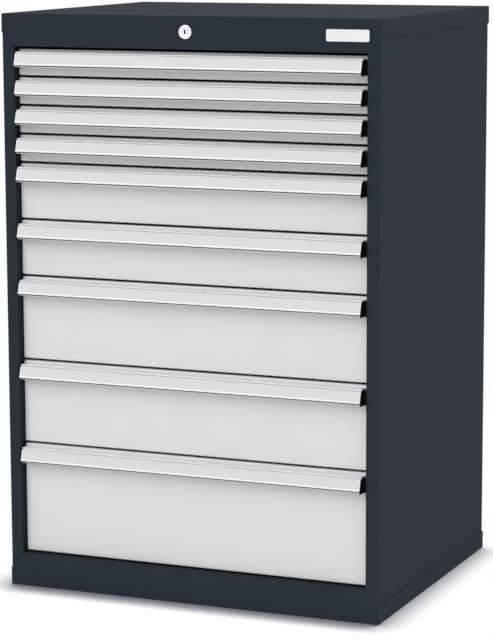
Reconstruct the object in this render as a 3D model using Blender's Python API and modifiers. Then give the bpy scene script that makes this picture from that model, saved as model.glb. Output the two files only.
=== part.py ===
"""Industrial drawer cabinet: a sheet-steel body with nine full-extension drawers and a central lock.

Metres, +Z up. The cabinet faces -Y and the origin is the bottom centre of its box.
Shapes are drawn from the cabinet's front plane: a drawer's own zero is that plane at the top line of
the drawer's module, in the middle of the cabinet.
"""

import math

import bmesh
import bpy
from mathutils import Matrix, Vector

SIDES = ((1, "right"), (-1, "left"))

# Whole cabinet
WIDTH = 0.702
DEPTH = 0.575
HEIGHT = 1.020
BODY_SHEET = 0.0015
BODY_BEND = 0.002
FIT = 0.0003
SEAM = 0.0006
CUT_OVERRUN = 0.004

# Front opening
POST_WIDTH = 0.0245
POST_RETURN = 0.0235
APRON_HEIGHT = 0.0565
LID_SKIRT = 0.0314
RAIL_HEIGHT = 0.060
BASE_SKIRT = 0.031
EDGE_RETURN = 0.020
REAR_FLANGE = 0.022

# Drawer stack, in counts of one module from top to bottom
DRAWER_MODULES = (1, 1, 1, 1, 2, 2, 3, 3, 4)
STACK_TOP_GAP = 0.0026
STACK_BOTTOM_GAP = 0.0009
FRONT_GAP = 0.004
FRONT_SIDE_GAP = 0.0015

# Drawer front
FACE_RECESS = 0.013
PAN_DEPTH = 0.010
PAN_SHEET = 0.0012
PAN_BEND = 0.0035

# Strip handle, its outline as shares of how far it stands out and how far it drops
HANDLE_PROJECTION = 0.027
HANDLE_TOP_INSET = 0.0046
HANDLE_DROP = 0.026
HANDLE_WALL = 0.0018
HANDLE_FLANGE = 0.010
HANDLE_END_INSET = 0.0038
HANDLE_OUTLINE_SHARES = ((0, 0), (0.75, 0.01), (0.79, 0.1), (1, 0.81), (1, 0.89), (0.95, 1))
END_CAP_WIDTH = 0.005
END_CAP_DROP = 0.0325

# Tray
TRAY_SHEET = 0.0012
TRAY_LENGTH = 0.450
TRAY_RIM_GAP = 0.007
TRAY_FLOOR_GAP = 0.004

# Slides
MEMBER_SHEET = 0.0015
MEMBER_GAP = 0.0005
SLIDE_HEIGHT = 0.028
SLIDE_RISE = 0.008
RUNNER_CLEARANCE = 0.001
RUNNER_HEIGHT = 0.020
RUNNER_SPARE = 0.020
ROLLER_WIDTH = 0.0095
ROLLER_GAP = 0.0003
ROLLER_SIDE_GAP = 0.0014
ROLLER_SIDES = 16
ROLLER_SEAT = 0.0002
SLIDE_START = 0.033
SLIDE_REAR_GAP = 0.032

# Uprights
UPRIGHT_WIDTH = 0.030
UPRIGHT_INSET = 0.050

# Lock
LOCK_DROP = 0.027
COLLAR_RADIUS = 0.012
COLLAR_HEIGHT = 0.0025
COLLAR_EDGE = 0.0008
HOUSING_RADIUS = 0.009
HOUSING_LENGTH = 0.018
BARREL_RADIUS = 0.0065
BARREL_HEIGHT = 0.0022
BARREL_LENGTH = 0.0205
BARREL_EDGE = 0.0004
KEYWAY_WIDTH = 0.0016
KEYWAY_LENGTH = 0.008
KEYWAY_DEPTH = 0.0015
NUT_RADIUS = 0.0145
NUT_THICKNESS = 0.004
NUT_SIDES = 6
CAM_SHEET = 0.0018
CAM_WIDTH = 0.009
PIN_CIRCLE = 0.008
PIN_RADIUS = 0.002
PIN_STAND = 0.0045
PIN_START_ANGLE = math.radians(45)
TURNED_STEPS = 24

# Locking bar
BAR_SHEET = 0.0015
BAR_LINK_HEIGHT = 0.016
BAR_LINK_RISE = 0.001
BAR_END = 0.005
BAR_SIDE_GAP = 0.0016
SLOT_GAP = 0.0005
TAB_DROP = 0.008
TAB_HEIGHT = 0.004
LUG_SHEET = 0.002
LUG_GAP = 0.0015
LUG_SHORTFALL = 0.004

# Small plate on the apron
BADGE_WIDTH = 0.076
BADGE_HEIGHT = 0.020
BADGE_SHEET = 0.001
BADGE_CORNER = 0.003
BADGE_SIDE_INSET = 0.0205
BADGE_DROP = 0.0182

# Worked out from the sizes above
HANDLE_REACH = HANDLE_PROJECTION - FACE_RECESS
FRONT_Y = (HANDLE_REACH - DEPTH) / 2
HALF_WIDTH = WIDTH / 2
PANEL_HALF = HALF_WIDTH - BODY_SHEET - FIT
PANEL_INNER = PANEL_HALF - BODY_SHEET
PANEL_BACK = DEPTH - BODY_SHEET - FIT
OPENING_HALF = HALF_WIDTH - POST_WIDTH
OPENING_TOP = HEIGHT - APRON_HEIGHT
STACK_HEIGHT = OPENING_TOP - RAIL_HEIGHT - STACK_TOP_GAP - STACK_BOTTOM_GAP
MODULE = STACK_HEIGHT / sum(DRAWER_MODULES)
FRONT_HALF = OPENING_HALF - FRONT_SIDE_GAP
HANDLE_HALF = FRONT_HALF - HANDLE_END_INSET

PAN_BACK = FACE_RECESS + PAN_DEPTH
TRAY_FRONT = PAN_BACK + FIT
TRAY_BACK = TRAY_FRONT + TRAY_LENGTH + 2 * TRAY_SHEET
ROLLER_OUTER = OPENING_HALF - RUNNER_CLEARANCE
RUNNER_OUTER = ROLLER_OUTER - ROLLER_WIDTH
RUNNER_INNER = RUNNER_OUTER - MEMBER_SHEET
ROLLER_INNER = RUNNER_INNER - ROLLER_WIDTH
DRAWER_RAIL_WEB = ROLLER_INNER - ROLLER_SIDE_GAP - MEMBER_SHEET
TRAY_HALF = DRAWER_RAIL_WEB + TRAY_SHEET / 2
CABINET_RAIL_WEB = ROLLER_OUTER + MEMBER_GAP + MEMBER_SHEET
ROLLER_RADIUS = SLIDE_HEIGHT / 2 - MEMBER_SHEET - ROLLER_GAP
TRAVEL = TRAY_LENGTH
RUNNER_LENGTH = TRAY_LENGTH + RUNNER_SPARE

LOCK_Z = HEIGHT - LOCK_DROP
BAR_FRONT = POST_RETURN + FIT
BAR_THROW = 2 * PIN_CIRCLE * math.sin(PIN_START_ANGLE)
TAB_TIP = OPENING_HALF + FIT
LUG_FRONT = BAR_FRONT + BAR_SHEET + LUG_GAP


def make_collection(name):
    collection = bpy.data.collections.new(name)
    bpy.context.scene.collection.children.link(collection)
    return collection


def linear(channel):
    share = channel / 255
    return share / 12.92 if share <= 0.04045 else ((share + 0.055) / 1.055) ** 2.4


def make_finish(name, colour, roughness, metallic):
    """A Principled material from an sRGB colour of three 0-255 channels."""
    finish = bpy.data.materials.new(name)
    finish.use_nodes = True
    shader = finish.node_tree.nodes["Principled BSDF"]
    shader.inputs["Base Color"].default_value = (*[linear(channel) for channel in colour], 1)
    shader.inputs["Roughness"].default_value = roughness
    shader.inputs["Metallic"].default_value = metallic
    return finish


def add_empty(name, location):
    empty = bpy.data.objects.new(name, None)
    empty.location = location
    parts.objects.link(empty)
    return empty


def add_object(name, mesh, finish, parent):
    """A named piece that keeps its mesh's coordinates under its parent."""
    piece = bpy.data.objects.new(name, mesh)
    piece.data.materials.append(finish)
    piece.parent = parent
    parts.objects.link(piece)
    return piece


def add_cutter(name, mesh, parent):
    cutter = bpy.data.objects.new(name, mesh)
    cutter.parent = parent
    cutter.hide_render = True
    cutter.display_type = "WIRE"
    cutters.objects.link(cutter)
    return cutter


def finish_mesh(name, bm):
    mesh = bpy.data.meshes.new(name)
    bm.to_mesh(mesh)
    bm.free()
    return mesh


def add_block(bm, low, high, turn=Matrix()):
    """A box between two corners, turned about the mesh's zero."""
    low, high = Vector(low), Vector(high)
    place = turn @ Matrix.Translation((low + high) / 2) @ Matrix.Diagonal((*(high - low), 1))
    bmesh.ops.create_cube(bm, size=1, matrix=place)


def block_mesh(name, *corner_pairs):
    """One box for each pair of corners."""
    bm = bmesh.new()
    for low, high in corner_pairs:
        add_block(bm, low, high)
    return finish_mesh(name, bm)


def add_cylinder(bm, centre, axis, radius, length, sides):
    """A cylinder about its centre."""
    turn = Vector((0, 0, 1)).rotation_difference(Vector(axis)).to_matrix().to_4x4()
    bmesh.ops.create_cone(
        bm,
        cap_ends=True,
        segments=sides,
        radius1=radius,
        radius2=radius,
        depth=length,
        matrix=Matrix.Translation(centre) @ turn,
    )


def open_box_mesh(name, low, high, open_side):
    """A box of faces without the one that looks along open_side."""
    bm = bmesh.new()
    add_block(bm, low, high)
    bm.normal_update()
    gone = [face for face in bm.faces if face.normal.dot(Vector(open_side)) > 0.5]
    bmesh.ops.delete(bm, geom=gone, context="FACES")
    return finish_mesh(name, bm)


def add_strip(bm, axis, outline, start, end):
    """An outline of faces swept along an axis.

    The outline is drawn in (y, z) for X, (x, z) for Y and (x, y) for Z. Each face looks to the left of
    the outline's direction.
    """
    corners = {
        "X": lambda u, v, w: (w, u, v),
        "Y": lambda u, v, w: (u, w, v),
        "Z": lambda u, v, w: (u, v, w),
    }[axis]
    if axis == "Y":
        start, end = end, start
    verts = [bm.verts.new(corners(u, v, start)) for u, v in outline]
    edges = [bm.edges.new(pair) for pair in zip(verts, verts[1:])]
    swept = bmesh.ops.extrude_edge_only(bm, edges=edges)["geom"]
    moved = [part for part in swept if isinstance(part, bmesh.types.BMVert)]
    bmesh.ops.translate(bm, verts=moved, vec=corners(0, 0, end - start))


def strip_mesh(name, axis, outlines, start, end):
    bm = bmesh.new()
    for outline in outlines:
        add_strip(bm, axis, outline, start, end)
    return finish_mesh(name, bm)


def plate_mesh(name, axis, outline, start, end):
    """A closed plate: a filled curve of the outline, drawn as in add_strip, from start to end."""
    curve = bpy.data.curves.new(name, "CURVE")
    curve.dimensions = "2D"
    curve.fill_mode = "BOTH"
    curve.extrude = (end - start) / 2
    spline = curve.splines.new("POLY")
    spline.points.add(len(outline) - 1)
    for point, (u, v) in zip(spline.points, outline):
        point.co = (u, v, 0, 1)
    spline.use_cyclic_u = True
    drawn = bpy.data.objects.new(name, curve)
    cutters.objects.link(drawn)
    mesh = bpy.data.meshes.new_from_object(drawn.evaluated_get(bpy.context.evaluated_depsgraph_get()))
    bpy.data.objects.remove(drawn)
    bpy.data.curves.remove(curve)
    turn = {
        "X": Matrix(((0, 0, 1, 0), (1, 0, 0, 0), (0, 1, 0, 0), (0, 0, 0, 1))),
        "Y": Matrix.Rotation(math.radians(90), 4, "X"),
        "Z": Matrix(),
    }[axis]
    middle = (start + end) / 2
    centre = {"X": (middle, 0, 0), "Y": (0, middle, 0), "Z": (0, 0, middle)}[axis]
    bm = bmesh.new()
    bm.from_mesh(mesh)
    bpy.data.meshes.remove(mesh)
    bmesh.ops.remove_doubles(bm, verts=bm.verts, dist=FIT / 10)
    bmesh.ops.transform(bm, matrix=Matrix.Translation(centre) @ turn, verts=bm.verts)
    bmesh.ops.recalc_face_normals(bm, faces=bm.faces)
    return finish_mesh(name, bm)


def bevel(piece, width, segments):
    modifier = piece.modifiers.new("Rounded folds", "BEVEL")
    modifier.width = width
    modifier.segments = segments
    modifier.limit_method = "ANGLE"


def thicken(piece, thickness, inward):
    """Gives a sheet its thickness against its faces' direction, or along it."""
    modifier = piece.modifiers.new("Sheet", "SOLIDIFY")
    modifier.thickness = thickness
    modifier.offset = -1 if inward else 1
    modifier.use_even_offset = True


def combine(piece, other, operation):
    modifier = piece.modifiers.new(other.name, "BOOLEAN")
    modifier.object = other
    modifier.operation = operation
    modifier.solver = "EXACT"


def handed(mesh, side):
    """The mesh of the cabinet's right side as it is, or turned into the left side's."""
    if side > 0:
        return mesh
    bm = bmesh.new()
    bm.from_mesh(mesh)
    bmesh.ops.scale(bm, vec=(-1, 1, 1), verts=bm.verts)
    bmesh.ops.reverse_faces(bm, faces=bm.faces)
    bm.to_mesh(mesh)
    bm.free()
    return mesh


def turned_piece(name, profile, cyclic, finish, parent):
    """A profile of (radius, height) points turned about the piece's own Y axis, heights towards -Y."""
    bm = bmesh.new()
    verts = [bm.verts.new((radius, 0, height)) for radius, height in profile]
    ends = verts[1:] + verts[:1] if cyclic else verts[1:]
    for pair in zip(verts, ends):
        bm.edges.new(pair)
    piece = add_object(name, finish_mesh(name, bm), finish, parent)
    piece.rotation_euler = (math.radians(90), 0, 0)
    modifier = piece.modifiers.new("Turned", "SCREW")
    modifier.steps = TURNED_STEPS
    modifier.render_steps = TURNED_STEPS
    modifier.use_merge_vertices = True
    modifier.merge_threshold = FIT / 10
    return piece


def drawer_lines():
    """The number, top line and height of each drawer's module, from the top one down."""
    top = OPENING_TOP - STACK_TOP_GAP
    for number, modules in enumerate(DRAWER_MODULES, start=1):
        height = modules * MODULE
        yield number, top, height
        top -= height


def mitre_outline(corner_z, edge_z, outer_z):
    """The ground beyond a mitre that climbs from the opening's corner to the body's outer edge."""
    slope = (edge_z - corner_z) / POST_WIDTH
    past = HALF_WIDTH + CUT_OVERRUN
    return [
        (OPENING_HALF - CUT_OVERRUN, corner_z),
        (OPENING_HALF, corner_z),
        (past, corner_z + slope * (past - OPENING_HALF)),
        (past, outer_z),
        (OPENING_HALF - CUT_OVERRUN, outer_z),
    ]


def add_end_shell(name, outer_z, front_height, skirt_height, up, cabinet):
    """The lid or the base: a tray whose deep front wall is mitred to the posts.

    up is 1 for the base, whose walls rise, and -1 for the lid, whose walls hang.
    """
    front_z = outer_z + up * front_height
    skirt_z = outer_z + up * skirt_height
    heights = sorted((outer_z, front_z))
    shell = add_object(
        name,
        open_box_mesh(name, (-HALF_WIDTH, 0, heights[0]), (HALF_WIDTH, DEPTH, heights[1]), (0, 0, up)),
        anthracite,
        cabinet,
    )
    bevel(shell, BODY_BEND, 2)
    thicken(shell, BODY_SHEET, inward=True)

    cut_heights = sorted((skirt_z, front_z + up * CUT_OVERRUN))
    skirt_cut = block_mesh(
        name + "_skirt_cut",
        (
            (-HALF_WIDTH - CUT_OVERRUN, BODY_SHEET + FIT, cut_heights[0]),
            (HALF_WIDTH + CUT_OVERRUN, DEPTH + CUT_OVERRUN, cut_heights[1]),
        ),
    )
    combine(shell, add_cutter(name + "_skirt_cut", skirt_cut, cabinet), "DIFFERENCE")
    edge = HALF_WIDTH + CUT_OVERRUN
    mitre_z = skirt_z + up * FIT
    edge_z = mitre_z + (mitre_z - front_z) * CUT_OVERRUN / POST_WIDTH
    outline = [
        (OPENING_HALF, front_z),
        (edge, edge_z),
        (edge, front_z + up * CUT_OVERRUN),
        (OPENING_HALF, front_z + up * CUT_OVERRUN),
    ]
    for side, hand in SIDES:
        mitre = plate_mesh("mitre", "Y", outline, -CUT_OVERRUN, BODY_SHEET + CUT_OVERRUN)
        combine(shell, add_cutter(f"{name}_{hand}_mitre", handed(mitre, side), cabinet), "DIFFERENCE")

    return_heights = sorted((front_z - up * FIT, front_z - up * (FIT + BODY_SHEET)))
    edge_return = block_mesh(
        name + "_edge_return",
        (
            (FIT - OPENING_HALF, BODY_SHEET / 2, return_heights[0]),
            (OPENING_HALF - FIT, EDGE_RETURN, return_heights[1]),
        ),
    )
    combine(shell, add_cutter(name + "_edge_return", edge_return, cabinet), "UNION")
    return shell


def add_side_panel(side, hand, cabinet):
    """A side wall folded round into the front post and its return, and into a rear flange."""
    name = f"{hand}_side_panel"
    outline = [
        (OPENING_HALF, POST_RETURN),
        (OPENING_HALF, 0),
        (PANEL_HALF, 0),
        (PANEL_HALF, PANEL_BACK),
        (PANEL_HALF - REAR_FLANGE, PANEL_BACK),
    ]
    low = BODY_SHEET + FIT
    mesh = strip_mesh(name, "Z", [outline], low, HEIGHT - low)
    panel = add_object(name, handed(mesh, side), anthracite, cabinet)
    bevel(panel, BODY_BEND, 2)
    thicken(panel, BODY_SHEET, inward=False)
    top = mitre_outline(OPENING_TOP - SEAM, HEIGHT - LID_SKIRT - SEAM, HEIGHT)
    bottom = mitre_outline(RAIL_HEIGHT + SEAM, BASE_SKIRT + SEAM, 0)
    for end, points in (("top", top), ("bottom", bottom)):
        mitre = plate_mesh("mitre", "Y", points, -CUT_OVERRUN, BODY_SHEET + FIT)
        combine(panel, add_cutter(f"{name}_{end}_mitre", handed(mitre, side), cabinet), "DIFFERENCE")


def add_back_panel(cabinet):
    side = PANEL_INNER - FIT
    back = PANEL_BACK - BODY_SHEET - FIT
    low = BODY_SHEET + FIT
    mesh = block_mesh("back_panel", ((-side, back - BODY_SHEET, low), (side, back, HEIGHT - low)))
    add_object("back_panel", mesh, anthracite, cabinet)


def add_rail_frame(side, hand, cabinet):
    """Two uprights against the side wall, and a rail for each drawer, open towards it."""
    name = f"{hand}_rail_frame"
    uprights = []
    web = CABINET_RAIL_WEB - MEMBER_SHEET / 2
    tip = PANEL_INNER - FIT
    for front in (UPRIGHT_INSET, DEPTH - UPRIGHT_INSET - UPRIGHT_WIDTH):
        back = front + UPRIGHT_WIDTH
        uprights.append([(tip, back), (web, back), (web, front), (tip, front)])
    low = BODY_SHEET + FIT
    mesh = strip_mesh(name, "Z", uprights, low, HEIGHT - low)
    frame = add_object(name, handed(mesh, side), zinc, cabinet)
    thicken(frame, MEMBER_SHEET, inward=False)

    outlines = []
    tip = RUNNER_OUTER + MEMBER_GAP
    for _, top, height in drawer_lines():
        low = top - height + SLIDE_RISE
        high = low + SLIDE_HEIGHT
        outlines.append([(tip, low), (CABINET_RAIL_WEB, low), (CABINET_RAIL_WEB, high), (tip, high)])
    mesh = strip_mesh(f"{hand}_rails", "Y", outlines, SLIDE_START, DEPTH - SLIDE_REAR_GAP)
    rails = add_cutter(f"{hand}_rails", handed(mesh, side), cabinet)
    thicken(rails, MEMBER_SHEET, inward=False)
    combine(frame, rails, "UNION")


def add_badge(cabinet):
    bm = bmesh.new()
    right = HALF_WIDTH - BADGE_SIDE_INSET
    high = HEIGHT - BADGE_DROP
    low = (right - BADGE_WIDTH, -FIT - BADGE_SHEET, high - BADGE_HEIGHT)
    add_block(bm, low, (right, -FIT, high))
    upright = [edge for edge in bm.edges if abs(edge.verts[0].co.y - edge.verts[1].co.y) > BADGE_SHEET / 2]
    bmesh.ops.bevel(bm, geom=upright, offset=BADGE_CORNER, segments=3, profile=0.5, affect="EDGES")
    add_object("badge_plate", finish_mesh("badge_plate", bm), white_plastic, cabinet)


def add_lock(cabinet, shell):
    """The collar and its body through the apron, and the barrel that turns in it."""
    lock = add_empty("lock_axis", (0, 0, LOCK_Z))
    lock.parent = cabinet
    bore = BARREL_RADIUS + FIT
    collar_profile = [
        (bore, COLLAR_HEIGHT),
        (COLLAR_RADIUS - COLLAR_EDGE, COLLAR_HEIGHT),
        (COLLAR_RADIUS, COLLAR_HEIGHT - COLLAR_EDGE),
        (COLLAR_RADIUS, FIT),
        (HOUSING_RADIUS, FIT),
        (HOUSING_RADIUS, -HOUSING_LENGTH),
        (bore, -HOUSING_LENGTH),
    ]
    turned_piece("lock_housing", collar_profile, True, nickel, lock)

    bm = bmesh.new()
    hole_length = 2 * CUT_OVERRUN + BODY_SHEET
    add_cylinder(bm, (0, BODY_SHEET / 2, 0), (0, 1, 0), HOUSING_RADIUS + FIT, hole_length, TURNED_STEPS)
    combine(shell, add_cutter("lock_hole", finish_mesh("lock_hole", bm), lock), "DIFFERENCE")

    barrel_profile = [
        (0, BARREL_HEIGHT),
        (BARREL_RADIUS - BARREL_EDGE, BARREL_HEIGHT),
        (BARREL_RADIUS, BARREL_HEIGHT - BARREL_EDGE),
        (BARREL_RADIUS, -BARREL_LENGTH),
        (0, -BARREL_LENGTH),
    ]
    barrel = turned_piece("lock_barrel", barrel_profile, False, nickel, lock)
    keyway = block_mesh(
        "keyway",
        (
            (-KEYWAY_WIDTH / 2, -BARREL_HEIGHT - CUT_OVERRUN, -KEYWAY_LENGTH / 2),
            (KEYWAY_WIDTH / 2, KEYWAY_DEPTH - BARREL_HEIGHT, KEYWAY_LENGTH / 2),
        ),
    )
    combine(barrel, add_cutter("keyway", keyway, lock), "DIFFERENCE")

    bm = bmesh.new()
    cam_front = BARREL_LENGTH + FIT
    turn = Matrix.Rotation(-PIN_START_ANGLE, 4, "Y")
    low = (-CAM_WIDTH / 2, cam_front, -PIN_CIRCLE - CAM_WIDTH / 2)
    add_block(bm, low, (CAM_WIDTH / 2, cam_front + CAM_SHEET, CAM_WIDTH / 2), turn)
    cam = add_object("lock_cam", finish_mesh("lock_cam", bm), zinc, lock)

    bm = bmesh.new()
    pin_length = PIN_STAND + CAM_SHEET / 2
    centre = (pin_x(), cam_front + CAM_SHEET / 2 + pin_length / 2, -PIN_CIRCLE * math.cos(PIN_START_ANGLE))
    add_cylinder(bm, centre, (0, 1, 0), PIN_RADIUS, pin_length, TURNED_STEPS // 2)
    combine(cam, add_cutter("cam_pin", finish_mesh("cam_pin", bm), lock), "UNION")

    nut_y = BODY_SHEET + FIT + NUT_THICKNESS / 2
    bm = bmesh.new()
    add_cylinder(bm, (0, nut_y, 0), (0, 1, 0), NUT_RADIUS, NUT_THICKNESS, NUT_SIDES)
    nut = add_object("lock_nut", finish_mesh("lock_nut", bm), nickel, lock)
    bm = bmesh.new()
    bore_length = NUT_THICKNESS + 2 * CUT_OVERRUN
    add_cylinder(bm, (0, nut_y, 0), (0, 1, 0), HOUSING_RADIUS + FIT, bore_length, TURNED_STEPS)
    combine(nut, add_cutter("nut_bore", finish_mesh("nut_bore", bm), lock), "DIFFERENCE")


def pin_x():
    return PIN_CIRCLE * math.sin(PIN_START_ANGLE)


def add_locking_bar(cabinet):
    """A link behind the apron and a strip behind the right post, with a tab for each drawer."""
    slide = add_empty("locking_bar_slide", (0, 0, LOCK_Z))
    slide.parent = cabinet
    back = BAR_FRONT + BAR_SHEET
    link_low = BAR_LINK_RISE - BAR_LINK_HEIGHT
    slot_half = PIN_RADIUS + SLOT_GAP
    right = PANEL_INNER - BAR_SIDE_GAP
    left = TAB_TIP + BAR_THROW
    tabs = []
    for _, top, _ in drawer_lines():
        high = top - TAB_DROP - LOCK_Z
        tabs.append(((TAB_TIP, BAR_FRONT, high - TAB_HEIGHT), (left + BAR_SHEET, back, high)))
    strip_low = tabs[-1][0][2]

    low = (pin_x() - slot_half - BAR_END, BAR_FRONT, link_low)
    link = block_mesh("locking_bar", (low, (right, back, BAR_LINK_RISE)))
    bar = add_object("locking_bar", link, zinc, slide)
    strip = block_mesh("bar_strip", ((left, BAR_FRONT, strip_low), (right, back, BAR_LINK_RISE)))
    combine(bar, add_cutter("bar_strip", strip, slide), "UNION")
    combine(bar, add_cutter("bar_tabs", block_mesh("bar_tabs", *tabs), slide), "UNION")
    slot_low = -PIN_CIRCLE - slot_half
    slot_high = slot_half - PIN_CIRCLE * math.cos(PIN_START_ANGLE)
    slot = block_mesh(
        "bar_slot",
        (
            (pin_x() - slot_half, BAR_FRONT - CUT_OVERRUN, slot_low),
            (pin_x() + slot_half, back + CUT_OVERRUN, slot_high),
        ),
    )
    combine(bar, add_cutter("bar_slot", slot, slide), "DIFFERENCE")


def handle_outline(inset=0):
    """The handle's outer outline in (y, z), up its flange, out and down, moved inwards by inset."""
    reach = HANDLE_PROJECTION - FIT
    top = -FRONT_GAP / 2 - HANDLE_TOP_INSET
    outer = [
        (FACE_RECESS - FIT - out_share * reach, top - drop_share * HANDLE_DROP)
        for out_share, drop_share in HANDLE_OUTLINE_SHARES
    ]
    outer.insert(0, (FACE_RECESS - FIT, top - HANDLE_FLANGE))
    if inset == 0:
        return outer
    return offset_left(outer, inset)


def offset_left(points, distance):
    """An outline moved to its left by a distance, with sharp corners."""
    normals = []
    for (u0, v0), (u1, v1) in zip(points, points[1:]):
        length = math.hypot(u1 - u0, v1 - v0)
        normals.append(Vector(((v0 - v1) / length, (u1 - u0) / length)))
    moved = []
    for index, point in enumerate(points):
        before = normals[max(index - 1, 0)]
        after = normals[min(index, len(normals) - 1)]
        step = (before + after) * distance / (1 + before.dot(after))
        moved.append((point[0] + step.x, point[1] + step.y))
    return moved


def add_handle(number, slide):
    handle = add_object(
        f"drawer_{number}_handle",
        strip_mesh(f"drawer_{number}_handle", "X", [handle_outline()], -HANDLE_HALF, HANDLE_HALF),
        aluminium,
        slide,
    )
    thicken(handle, HANDLE_WALL, inward=False)

    outline = handle_outline(HANDLE_WALL / 2)
    cap_low = -FRONT_GAP / 2 - END_CAP_DROP
    outline[0] = (outline[0][0], cap_low)
    outline.append((outline[-1][0], cap_low))
    for side, hand in SIDES:
        cap = plate_mesh("end_cap", "X", outline, HANDLE_HALF - END_CAP_WIDTH, HANDLE_HALF)
        combine(handle, add_cutter(f"drawer_{number}_{hand}_end", handed(cap, side), slide), "UNION")


def add_drawer_front(number, height, slide):
    low = (-FRONT_HALF, FACE_RECESS, FRONT_GAP / 2 - height)
    mesh = open_box_mesh(f"drawer_{number}_front", low, (FRONT_HALF, PAN_BACK, -FRONT_GAP / 2), (0, 1, 0))
    front = add_object(f"drawer_{number}_front", mesh, light_grey, slide)
    bevel(front, PAN_BEND, 3)
    thicken(front, PAN_SHEET, inward=True)


def add_tray(number, height, slide):
    """The drawer's box with a rail on each side and the lug that the locking bar catches."""
    name = f"drawer_{number}_tray"
    low = (-TRAY_HALF, TRAY_FRONT, TRAY_FLOOR_GAP - height)
    mesh = open_box_mesh(name, low, (TRAY_HALF, TRAY_BACK, -TRAY_RIM_GAP), (0, 0, 1))
    tray = add_object(name, mesh, light_grey, slide)
    thicken(tray, TRAY_SHEET, inward=True)

    rail_low = SLIDE_RISE - height
    rail_high = rail_low + SLIDE_HEIGHT
    tip = RUNNER_INNER - MEMBER_GAP
    outline = [(tip, rail_high), (DRAWER_RAIL_WEB, rail_high), (DRAWER_RAIL_WEB, rail_low), (tip, rail_low)]
    for side, hand in SIDES:
        rail_name = f"drawer_{number}_{hand}_rail"
        mesh = strip_mesh(rail_name, "Y", [outline], SLIDE_START, TRAY_BACK - TRAY_SHEET)
        rail = add_cutter(rail_name, handed(mesh, side), slide)
        thicken(rail, MEMBER_SHEET, inward=False)
        combine(tray, rail, "UNION")

    lug = block_mesh(
        f"drawer_{number}_lug",
        (
            (DRAWER_RAIL_WEB, LUG_FRONT, -TAB_DROP - TAB_HEIGHT),
            (TAB_TIP - LUG_SHORTFALL, LUG_FRONT + LUG_SHEET, -TAB_DROP),
        ),
    )
    combine(tray, add_cutter(f"drawer_{number}_lug", lug, slide), "UNION")


def runner_meshes(middle_z):
    """The plate of one intermediate runner, and the rollers at both its faces."""
    half = RUNNER_HEIGHT / 2
    runner_end = SLIDE_START + RUNNER_LENGTH
    low = (RUNNER_INNER, SLIDE_START, middle_z - half)
    plate = block_mesh("runner_plate", (low, (RUNNER_OUTER, runner_end, middle_z + half)))
    half_travel = TRAVEL / 2
    near_end = SLIDE_START + ROLLER_RADIUS
    width = ROLLER_WIDTH + ROLLER_SEAT
    inner_x = RUNNER_INNER + ROLLER_SEAT - width / 2
    outer_x = RUNNER_OUTER - ROLLER_SEAT + width / 2
    bm = bmesh.new()
    for x, y in (
        (inner_x, near_end),
        (inner_x, near_end + half_travel - 2 * ROLLER_RADIUS),
        (outer_x, near_end + half_travel + ROLLER_RADIUS),
        (outer_x, runner_end - ROLLER_RADIUS),
    ):
        add_cylinder(bm, (x, y, middle_z), (1, 0, 0), ROLLER_RADIUS, width, ROLLER_SIDES)
    return plate, finish_mesh("rollers", bm)


def add_runners(number, top, height, cabinet):
    """The pair of intermediate runners of one drawer."""
    slide = add_empty(f"drawer_{number}_runner_slide", (0, 0, top))
    slide.parent = cabinet
    for side, hand in SIDES:
        name = f"drawer_{number}_{hand}_runner"
        plate, rollers = runner_meshes(SLIDE_RISE + SLIDE_HEIGHT / 2 - height)
        runner = add_object(name, handed(plate, side), zinc, slide)
        combine(runner, add_cutter(f"{name}_rollers", handed(rollers, side), slide), "UNION")


def add_drawer(number, top, height, cabinet):
    slide = add_empty(f"drawer_{number}_slide", (0, 0, top))
    slide.parent = cabinet
    add_drawer_front(number, height, slide)
    add_handle(number, slide)
    add_tray(number, height, slide)
    add_runners(number, top, height, cabinet)


def build():
    cabinet = add_empty("cabinet_front_plane", (0, FRONT_Y, 0))
    lid = add_end_shell("top_cover", HEIGHT, APRON_HEIGHT, LID_SKIRT, -1, cabinet)
    add_end_shell("base_tray", 0, RAIL_HEIGHT, BASE_SKIRT, 1, cabinet)
    for side, hand in SIDES:
        add_side_panel(side, hand, cabinet)
        add_rail_frame(side, hand, cabinet)
    add_back_panel(cabinet)
    add_badge(cabinet)
    add_lock(cabinet, lid)
    add_locking_bar(cabinet)
    for number, top, height in drawer_lines():
        add_drawer(number, top, height, cabinet)


for old in list(bpy.data.objects):
    bpy.data.objects.remove(old)

parts = make_collection("drawer_cabinet")
cutters = make_collection("cutters")

anthracite = make_finish("anthracite_paint", (49, 56, 64), 0.45, 0)
light_grey = make_finish("light_grey_paint", (219, 221, 220), 0.45, 0)
aluminium = make_finish("anodised_aluminium", (226, 228, 229), 0.35, 0.6)
white_plastic = make_finish("white_plastic", (240, 241, 241), 0.4, 0)
nickel = make_finish("nickel", (196, 196, 192), 0.25, 1)
zinc = make_finish("zinc_plate", (176, 180, 184), 0.4, 0.9)

build()
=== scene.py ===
"""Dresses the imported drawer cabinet: finer sheet metal, handles, lock, trays and slides, with their finishes.

Metres, +Z up, the cabinet facing -Y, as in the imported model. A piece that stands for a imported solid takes
its place from that solid's box. A section is drawn flat and swept along one of the cabinet's axes.
"""

import math

import bmesh
import bpy
from mathutils import Matrix, Vector


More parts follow.
